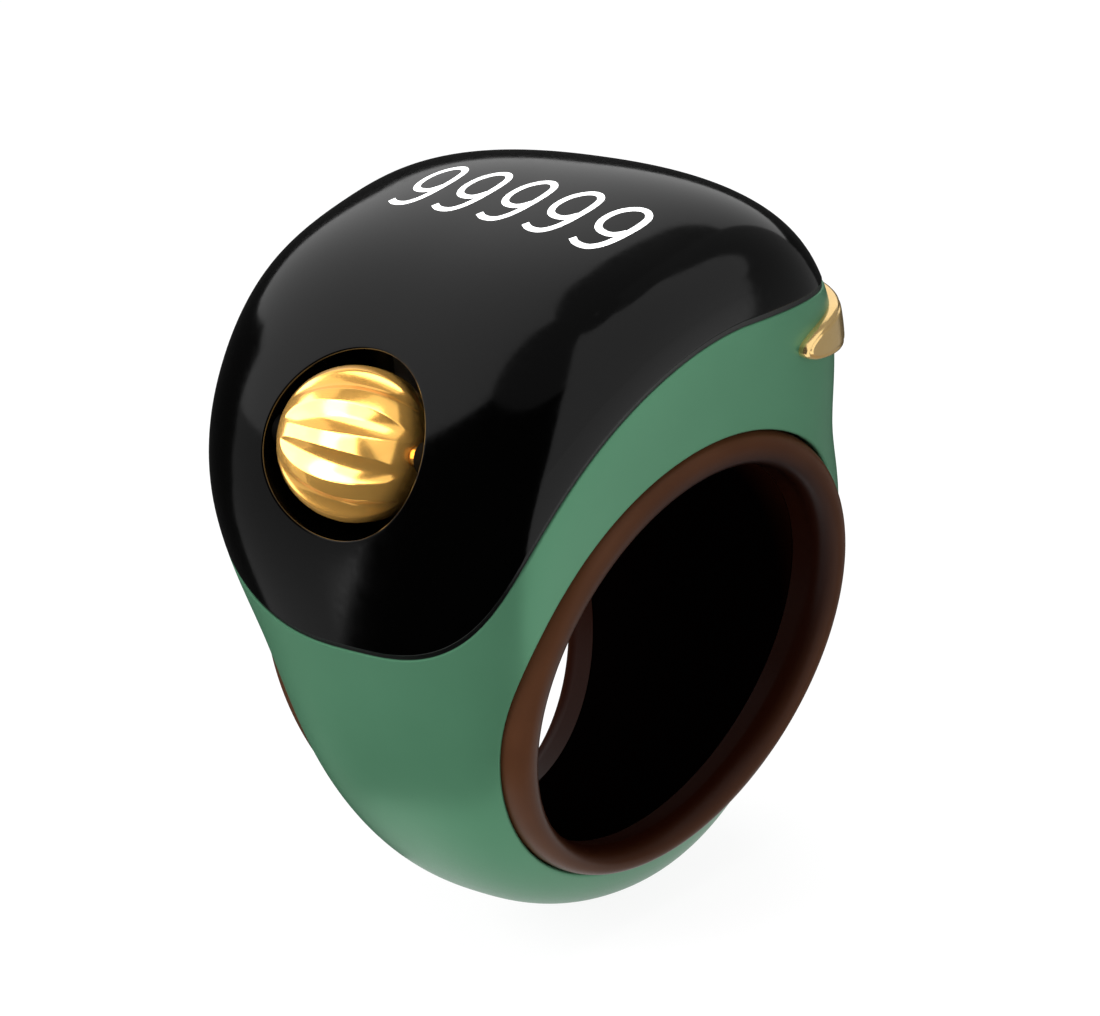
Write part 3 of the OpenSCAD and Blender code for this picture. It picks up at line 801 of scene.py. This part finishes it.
@dataclass
class Ring:
    """The satin green ring body: two mirrored halves that share the middle plane."""

    form: OuterForm
    seam: Seam
    side: Side
    recess_r: float = 11.45
    recess_depth: float = 1.2
    rim_r: float = 0.14
    edge_r: float = 0.1
    seal_t: float = 0.25
    seam_columns: int = 230
    round_columns: int = 260
    rows: int = 60
    wall_depth: float = 0.9
    bearing_share: float = 0.6
    start_share: float = 0.1
    lead: float = 5.0
    core: Triple = (0.0, 0.0, 1.0)

    def rim(self, turn: Array) -> Array:
        """The recess's rim: its cylinder's points moved along its axis onto the surface."""
        flat = self.side.circle(turn, self.recess_r, 0.0)
        return self.form.cast(flat - self.side.out * self.lead, self.side.out, 0.0, 2 * self.lead)

    def outer_loop(self) -> tuple[Array, Array]:
        """The half's outer edge, and the round that turns its seam stretch inwards.

        Returns:
            The closed loop, front to rear along the seam and back under the ring, and the round.
        """
        edge = self.seam.half(self.seam_columns, drop=self.seal_t)
        whole = closed(edge)
        normal = self.form.normal(whole)
        off = unit(np.cross(normal, along(whole)))
        off *= np.sign(off[:, 2:3] + 1e-9)
        keep = slice(0, self.seam_columns)
        turned = rounded_edge(edge, normal[keep], off[keep], self.edge_r, EDGE_ROWS)
        turned[:, [0, -1], 0] = 0
        ends = self.form.angle(turned[0, [-1, 0], 1], turned[0, [-1, 0], 2])
        phi = np.linspace(ends[0], ends[1] - 2 * math.pi, 4000)
        shares = np.linspace(0, 1, self.round_columns + 2)[1:-1]
        places = np.interp(shares, spread(self.form.outline(phi)), phi)
        return np.concatenate([turned[0], self.form.outline(places)]), turned

    def half(self, piece: Piece, left: bool) -> None:
        """Adds one half: great circles from the recess's rim to the loop, cast on the form."""
        loop, turned = self.outer_loop()
        back_to_start = np.concatenate([loop, loop[:1]])
        spoke = loop - self.side.foot
        bearing = np.unwrap(np.arctan2(spoke @ self.side.up, spoke @ self.side.rear))
        even = bearing[0] - 2 * math.pi * spread(back_to_start)[:-1]
        even += (bearing - even).mean()
        turn = self.bearing_share * bearing + (1 - self.bearing_share) * even
        rim = self.rim(turn)
        rim_n = self.form.normal(rim)
        off = self.side.foot - rim
        rim_round = rounded_edge(rim, rim_n, across(off, rim_n), self.rim_r, EDGE_ROWS)[::-1]
        core = np.array(self.core)
        a, b = unit(rim_round[-1] - core), unit(loop - core)
        face = self.form.cast(core, slerp(a, b, np.linspace(0, 1, self.rows)[1:]), 1.0)
        face[-1] = loop
        steps = np.linspace(1, self.start_share, WALL_ROWS)[:, None, None]
        recess = rim_round[0] - self.side.out * self.recess_depth * steps
        grid = np.concatenate([recess, rim_round, face])
        seam_core = np.array(self.seam.core) - vec(0, 0, self.seal_t)
        inward = unit(seam_core - turned[-1])
        wall = turned[-1] + inward * self.wall_depth * steps[::-1]
        lip = np.concatenate([turned, wall])
        if left:
            grid, lip = mirrored(grid), mirrored(lip)
        piece.add(grid, wrap=True, flip=left)
        piece.add(lip, flip=left)

    def build(self) -> Object:
        """Both halves, merged on the middle plane."""
        piece = Piece("ring_shell")
        for left in (False, True):
            self.half(piece, left)
        return piece.build(merge=0.002)


@dataclass
class Bead:
    """The rounded brown bead at one mouth of the finger hole."""

    side: Side
    left: bool
    outer_r: float = 11.35
    bore_r: float = 9.5
    stand: float = 0.4
    shoulder: float = 0.8
    skirt: float = 1.3
    sleeve: float = 0.95
    squareness: float = 0.92
    start: float = 0.1
    columns: int = 300
    rows: int = 40

    def bore_radius(self, turn: Array, height: float) -> Array:
        """Radius in the side's plane at which the bore lies, from a quadratic equation."""
        start = self.side.foot + height * self.side.out
        spoke = self.side.spoke(turn)
        a = (spoke[:, 1:] ** 2).sum(-1)
        b = spoke[:, 1:] @ start[1:]
        c = (start[1:] ** 2).sum() - self.bore_r ** 2
        return (-b + np.sqrt(b * b - a * c)) / a

    def build(self) -> Object:
        """A half superellipse carried round the mouth, with a skirt outside and a sleeve inside."""
        turn = full_turn(self.columns)
        inner = self.bore_radius(turn, -self.shoulder)
        v = np.linspace(0, math.pi, self.rows)
        middle, half = (self.outer_r + inner) / 2, (self.outer_r - inner) / 2
        wave = np.sign(np.cos(v)) * np.abs(np.cos(v)) ** self.squareness
        height = -self.shoulder + (self.shoulder + self.stand) * np.sin(v) ** self.squareness
        radii = middle[None] + wave[:, None] * half[None]
        crown = self.side.circle(turn[None], radii, height[:, None])
        down = self.shoulder + np.linspace(self.skirt, self.start, WALL_ROWS)[:, None]
        skirt = self.side.circle(turn[None], self.outer_r, -down)
        steps = np.linspace(self.start, self.sleeve, WALL_ROWS + 2)[:, None, None]
        sleeve = crown[-1] - vec(1, 0, 0) * steps
        grid = np.concatenate([skirt, crown, sleeve])
        if self.left:
            grid = mirrored(grid)
        name = "bead_shell_left" if self.left else "bead_shell_right"
        return Piece(name).add(grid, wrap=True, flip=not self.left).build()


@dataclass
class Roller:
    """The gold ball roller with its lens-shaped flutes, which run round an axis of their own."""

    centre: Triple = (0.0, -11.5643, 13.0431)
    radius: float = 3.55
    bore_r: float = 0.42
    flutes: int = 10
    flute_axis: Triple = (0.804, 0.523, -0.275)
    flute_up: Triple = (-0.162, 0.324, 0.932)
    first: float = math.radians(17)
    depth: float = 0.33
    half_wide: float = 0.72
    middle: float = math.radians(-9)
    reach: float = math.radians(56)
    tip_power: float = 0.7
    fade_power: float = 1.1
    edge_soft: float = 0.0004
    edge_share: float = 0.01
    sleeve: float = 0.6
    sleeve_start: float = 0.05
    sleeve_rows: int = 4
    columns: int = 330
    rows: int = 170

    def hollow(self, way: Array) -> Array:
        """Depth of the flutes in a direction: a parabola across each, less towards its tips.

        Args:
            way: Directions of length one.

        Returns:
            The depth in millimetres, 0 on the ridges.
        """
        axis = unit(vec(*self.flute_axis))
        over = across(vec(*self.flute_up), axis)
        front = np.cross(axis, over)
        lat = np.arcsin(np.clip(way @ axis, -1, 1))
        lon = np.arctan2(way @ over, way @ front)
        step = 2 * math.pi / self.flutes
        off = np.mod(lon - self.first + step / 2, step) - step / 2
        taper = np.clip(1 - ((lat - self.middle) / self.reach) ** 2, 0, 1)
        wide = self.half_wide * taper ** self.tip_power + 1e-3
        share = 1 - (self.radius * np.cos(lat) * off / wide) ** 2
        share = (share + np.sqrt(share ** 2 + self.edge_soft)) / 2
        return self.depth * taper ** self.fade_power * np.where(share > self.edge_share, share, 0)

    def build(self) -> Object:
        """A sphere's radius less the flutes, closed at the axle's bore by two short sleeves."""
        end = math.acos(self.bore_r / self.radius)
        lat = np.linspace(-end, end, self.rows)[:, None]
        lon = full_turn(self.columns)[None]
        way = vec(np.sin(lat), -np.cos(lat) * np.cos(lon), np.cos(lat) * np.sin(lon))
        ball = way * (self.radius - self.hollow(way))[..., None]
        steps = np.linspace(self.sleeve, self.sleeve_start, self.sleeve_rows)[:, None, None]
        left = ball[0] + vec(1, 0, 0) * steps
        right = ball[-1] - vec(1, 0, 0) * steps[::-1]
        grid = np.concatenate([left, ball, right])
        return Piece("roller_ball").add(grid + self.centre, wrap=True, flip=True).build()


@dataclass
class RearBand:
    """The gold band on the rear, below the cap: a blunt-tipped strip with rounded edges."""

    form: OuterForm
    level: float = 13.9
    half_high: float = 1.45
    reach: float = math.radians(71)
    centre_y: float = 1.0
    stand: float = 0.5
    blunt_share: float = 4.0
    skeleton_share: float = 0.93
    crowd_power: float = 1.4
    round_power: float = 7.0
    groove_depth: float = 0.1
    groove_share: Pair = (0.72, 0.05)
    sink: float = 0.06
    columns: int = 360
    rows: int = 34

    def build(self) -> Object:
        """Rings from the middle line to the outline, cast on the form and raised."""
        turn = full_turn(self.columns)
        s = np.sign(np.cos(turn)) * (1 - (1 - np.abs(np.cos(turn))) ** self.crowd_power)
        high = np.sqrt(np.clip(1 - np.abs(s) ** self.blunt_share, 0, 1)) * np.sign(np.sin(turn))
        spine = np.clip(s, -self.skeleton_share, self.skeleton_share)
        share = np.sin(np.linspace(0, math.pi / 2, self.rows))[:, None]
        run = spine + (s - spine) * share
        up = high * share
        groove = (share - self.groove_share[0]) / self.groove_share[1]
        height = self.stand * (1 - share ** self.round_power) ** (1 / 3)
        height -= self.groove_depth * np.exp(-groove ** 2)
        height[-1] = -self.sink
        angle = self.reach * run
        start = vec(0, self.centre_y, self.level + self.half_high * up)
        base = self.form.cast(start, vec(np.sin(angle), np.cos(angle), 0))
        grid = base + self.form.normal(base) * height[..., None]
        return Piece("rear_band_trim").add(grid, wrap=True).build()


@dataclass
class Digits:
    """The five lit digits of the count, which show through the cap as pure white strokes."""

    form: OuterForm
    height: float = 3.37
    first_x: float = -4.466
    base_y: float = -2.49
    pitch: float = 2.767
    half_stroke: float = 0.173
    lift: float = 0.018
    places: int = 5
    points: int = 110
    fine: int = 900
    inside_z: float = 8.0
    outside: float = 20.0
    strips: int = 7
    slant: Pair = (-0.15, 0.20)
    stroke_share: tuple[Pair, ...] = (
        (-0.245, -0.005), (-0.13, -0.075), (0.02, -0.09), (0.13, -0.045), (0.23, 0.07),
        (0.30, 0.24), (0.345, 0.445), (0.37, 0.66), (0.35, 0.86), (0.25, 0.965),
        (0.13, 0.972), (0.01, 0.905), (-0.095, 0.78), (-0.148, 0.62), (-0.148, 0.475),
        (-0.09, 0.35), (0.02, 0.285), (0.16, 0.28), (0.26, 0.345), (0.325, 0.43))

    def centre_line(self, count: int) -> Array:
        """The stroke's middle line: a smooth curve through the shares, evenly spread."""
        p = np.array(self.stroke_share) * self.height
        p = np.concatenate([[2 * p[0] - p[1]], p, [2 * p[-1] - p[-2]]])
        t = np.linspace(0, len(p) - 3, self.fine)
        i = np.minimum(t.astype(int), len(p) - 4)
        f = (t - i)[:, None]
        a, b, c, d = (p[i + k] for k in range(4))
        line = (2 * b + (c - a) * f + (2 * a - 5 * b + 4 * c - d) * f ** 2
                + (3 * b - a - 3 * c + d) * f ** 3) / 2
        return points_at(np.linspace(0, 1, count), spread(line), line)

    def build(self) -> Object:
        """Strips along the middle line, laid on the cap from above and lifted a hair."""
        line = self.centre_line(self.points)
        way = unit(np.gradient(line, axis=0))
        side = np.stack([-way[:, 1], way[:, 0]], -1)
        flat = line + side * np.linspace(-1, 1, self.strips)[:, None, None] * self.half_stroke
        piece = Piece("lit_digits")
        for place in range(self.places):
            left = self.places - 1 - place
            x = flat[..., 0] + self.first_x + self.pitch * place + self.slant[0] * left
            y = flat[..., 1] + self.base_y + self.slant[1] * left
            top = self.form.cast(vec(x, y, self.inside_z), vec(0, 0, 1), 0.0, self.outside)
            piece.add(top + self.form.normal(top) * self.lift, flip=True)
        return piece.build()


def placed(at: Array, right: Array, up: Array, back: Array) -> Matrix:
    """A world matrix in metres, from a place in millimetres and three axes."""
    axes = np.stack([right, up, back], -1)
    return Matrix.Translation((at * MM).tolist()) @ Matrix(axes.tolist()).to_4x4()


@dataclass(frozen=True)
class Card:
    """A studio card that only reflections show, a piece of a wide sphere round the ring.

    Its left and right edges are turns from the front towards +X, each at the rise of the same place
    in the row of rises, all in degrees.
    """

    name: str
    rise: tuple[float, ...]
    left: tuple[float, ...]
    right: tuple[float, ...]
    glow: float
    reach: float = 330.0


@dataclass(frozen=True)
class Lamp:
    """A soft rectangular lamp: place and size in millimetres, power in watts.

    A lamp for the roller alone shows in the roller's reflections and lights nothing else.
    """

    name: str
    at: Triple
    size: Pair
    power: float
    roller_only: bool = False

    def build(self) -> None:
        """Makes the lamp, turned to face the ring."""
        data = bpy.data.lights.new(self.name, "AREA")
        data.shape = "RECTANGLE"
        data.size, data.size_y = (side * MM for side in self.size)
        data.energy = self.power
        lamp = linked(self.name, data)
        lamp.visible_camera = False
        lamp.visible_glossy, lamp.visible_diffuse = self.roller_only, not self.roller_only
        at = vec(*self.at)
        back = unit(at - AIM)
        side = unit(np.cross(vec(0, 0, 1), back))
        lamp.matrix_world = placed(at, side, np.cross(back, side), back)
        if self.roller_only:
            group = bpy.data.collections.new(self.name + "_lights")
            group.objects.link(bpy.data.objects["roller_ball"])
            lamp.light_linking.receiver_collection = group


@dataclass(frozen=True)
class Camera:
    """The photograph's camera: angles in degrees, and its frame in the photograph's own points."""

    turn: float = 43.0179
    rise: float = 20.4241
    roll: float = -5.8969
    distance: float = 193.15
    points_per_mm: float = 21.3844
    frame: Pair = (1100, 1016)
    aim_at: Pair = (545.265, 528.869)
    sensor: float = 36.0

    def build(self) -> None:
        """Makes the camera, with the small shift that puts the ring in its place in the frame."""
        turn, rise, roll = (math.radians(v) for v in (self.turn, self.rise, self.roll))
        flat = vec(math.sin(turn), -math.cos(turn), 0)
        back = flat * math.cos(rise) + vec(0, 0, math.sin(rise))
        right = vec(math.cos(turn), math.sin(turn), 0)
        up = np.cross(back, right)
        right, up = (right * math.cos(roll) + up * math.sin(roll),
                     up * math.cos(roll) - right * math.sin(roll))
        width, height = self.frame
        data = bpy.data.cameras.new("camera")
        data.sensor_width = self.sensor
        data.lens = self.sensor * self.points_per_mm * self.distance / width
        data.shift_x = (width / 2 - self.aim_at[0]) / width
        data.shift_y = (self.aim_at[1] - height / 2) / width
        data.clip_start, data.clip_end = 0.01, 10.0
        camera = linked("camera", data)
        camera.matrix_world = placed(AIM + back * self.distance, right, up, back)
        bpy.context.scene.camera = camera


@dataclass
class Studio:
    """The pale floor, the cards, the lamps, the world and the camera."""

    world_level: float = 0.55
    floor_z: float = -13.93
    floor_half: float = 900.0
    floor_glow: float = 1.05
    glow_share: float = 0.86
    card_drop: float = 18.5
    card_rows: int = 40
    card_columns: int = 60
    cards: tuple[Card, ...] = (
        Card("front_card", (-45, -30, -18, -7, 10, 33, 43, 52),
             (-40, -38, -35, -36, -37, -39, -35, -31), (78, 74, 71, 69, 63, 52, 46, 42), 0.0),
        Card("high_card", (52, 64, 73, 80), (-31, -50, -68, -85), (42, 33, 22, 12), 0.2),
        Card("top_card", (80, 89.5), (-180, -180), (180, 180), 0.2),
        Card("high_left_card", (49, 55, 65, 71, 74, 80), (-180,) * 6,
             (-179, -148, -128, -96, -68, -85), 0.2),
        Card("rear_card", (-50, -17, 14, 35, 52, 66, 80), (133, 133, 132, 143, 147, 151, 102),
             (181,) * 7, 0.25),
        Card("left_card", (-62, -30, -7, 10, 18), (-55, -58, -63, -66, -71),
             (-40, -38, -36, -37, -38), 0.38),
        Card("low_left_card", (-62, -37, -21, -10, 0, 11, 19, 28), (-180,) * 6 + (-98, -86),
             (-54, -56, -59, -62, -64, -66, -71, -78), 0.03),
    )
    lamps: tuple[Lamp, ...] = (
        Lamp("key", (-150, -260, 200), (220, 220), 1.15),
        Lamp("top", (40, 60, 320), (260, 160), 0.7),
        Lamp("right", (300, -80, 100), (160, 200), 0.3),
        Lamp("gold_key", (-62, -88, 26), (240, 200), 0.75, roller_only=True),
        Lamp("gold_top", (60, -70, 130), (230, 130), 0.45, roller_only=True),
        Lamp("gold_front", (40, -150, 45), (150, 190), 0.45, roller_only=True),
    )

    def floor(self) -> None:
        """A wide pale floor under the ring, white to the camera and in reflections."""
        side, z = self.floor_half, self.floor_z
        grid = np.array([[[-side, y, z], [side, y, z]] for y in (-side, side)])
        piece = Piece("floor").add(grid).build(smooth=False)
        n = Nodes("pale_floor")
        shades = n.ramp(n.noise(6.0), {0.3: grey(0.84), 0.7: grey(0.86)})
        n.set(Base_Color=shades, Roughness=0.9, Specular_IOR_Level=0.1)
        part = n.maths("MULTIPLY", n.seen_rays(), self.glow_share)
        glow = n.glow("Emission", self.floor_glow)
        n.plug(n.mix(part, n.shader.outputs["BSDF"], glow), n.surface)
        dress(piece, n.material)

    def world(self) -> None:
        """An even pale surrounding, white to the camera and in reflections."""
        world = bpy.data.worlds.new("studio")
        world.use_nodes = True
        t = Tree(world.node_tree)
        light, seen = (t.glow("Background", level) for level in (self.world_level, 1.0))
        t.plug(t.mix(t.seen_rays(), light, seen), t.new("OutputWorld").inputs["Surface"])
        bpy.context.scene.world = world

    def card(self, card: Card) -> None:
        """One card, kept above the floor, with its edges drawn through their places."""
        rise = np.linspace(card.rise[0], card.rise[-1], self.card_rows)
        left, right = (np.interp(rise, card.rise, edge)[:, None]
                       for edge in (card.left, card.right))
        turn = np.radians(left + (right - left) * np.linspace(0, 1, self.card_columns))
        rise = np.radians(rise)[:, None]
        way = vec(np.sin(turn) * np.cos(rise), -np.cos(turn) * np.cos(rise), np.sin(rise))
        reach = np.minimum(card.reach, self.card_drop / np.maximum(-way[..., 2:], 1e-3))
        piece = Piece(card.name).add(AIM + way * reach, flip=True).build(smooth=False)
        n = Nodes(card.name)
        n.plug(n.glow("Emission", card.glow), n.surface)
        dress(piece, n.material)
        piece.visible_camera = piece.visible_diffuse = piece.visible_shadow = False

    def build(self) -> None:
        """Everything round the object."""
        Camera().build()
        self.floor()
        self.world()
        for card in self.cards:
            self.card(card)
        for lamp in self.lamps:
            lamp.build()
        bpy.context.scene.view_settings.view_transform = "Standard"


def white_stroke() -> Material:
    """The lit stroke: a white that also glows, with a faint unevenness."""
    n = Nodes("lit_white")
    grain = n.noise(5000)
    n.set(Base_Color=n.ramp(grain, {0.3: grey(0.86), 0.7: grey(0.9)}),
          Roughness=n.between(grain, 0.3, 0.4), Emission_Color=WHITE, Emission_Strength=0.75)
    return n.material


def main() -> None:
    """Builds and dresses each sub-assembly in order, then the studio."""
    logging.basicConfig(level=logging.INFO, format="%(message)s")
    worn = finishes()
    for name, node in frame["nodes"].items():
        dress(node, worn[name])
    form = OuterForm()
    seam = Seam(form)
    side = Side(form)
    cap = Cap(form, seam, Window())
    pieces = [
        (cap.build(), Body.HOUSING, "cap_black", "top_cap"),
        (cap.gasket(), Body.HOUSING, "seal_black", "cap_seal"),
        (Ring(form, seam, side).build(), Body.HOUSING, "ring_green", "ring_body"),
        (Bead(side, False).build(), Body.HOUSING, "liner_brown", "bead_right"),
        (Bead(side, True).build(), Body.HOUSING, "liner_brown", "bead_left"),
        (Roller().build(), Body.ROLLER, "gold", "roller_drum"),
        (RearBand(form).build(), Body.HOUSING, "gold", "rear_band"),
    ]
    for piece, body, slot, node in pieces:
        dress(piece, worn[node])
        settle(piece, body, slot, node)
    digits = Digits(form).build()
    dress(digits, white_stroke())
    settle(digits, Body.HOUSING, "display_dark")
    Studio().build()


if __name__ == "__main__":
    main()
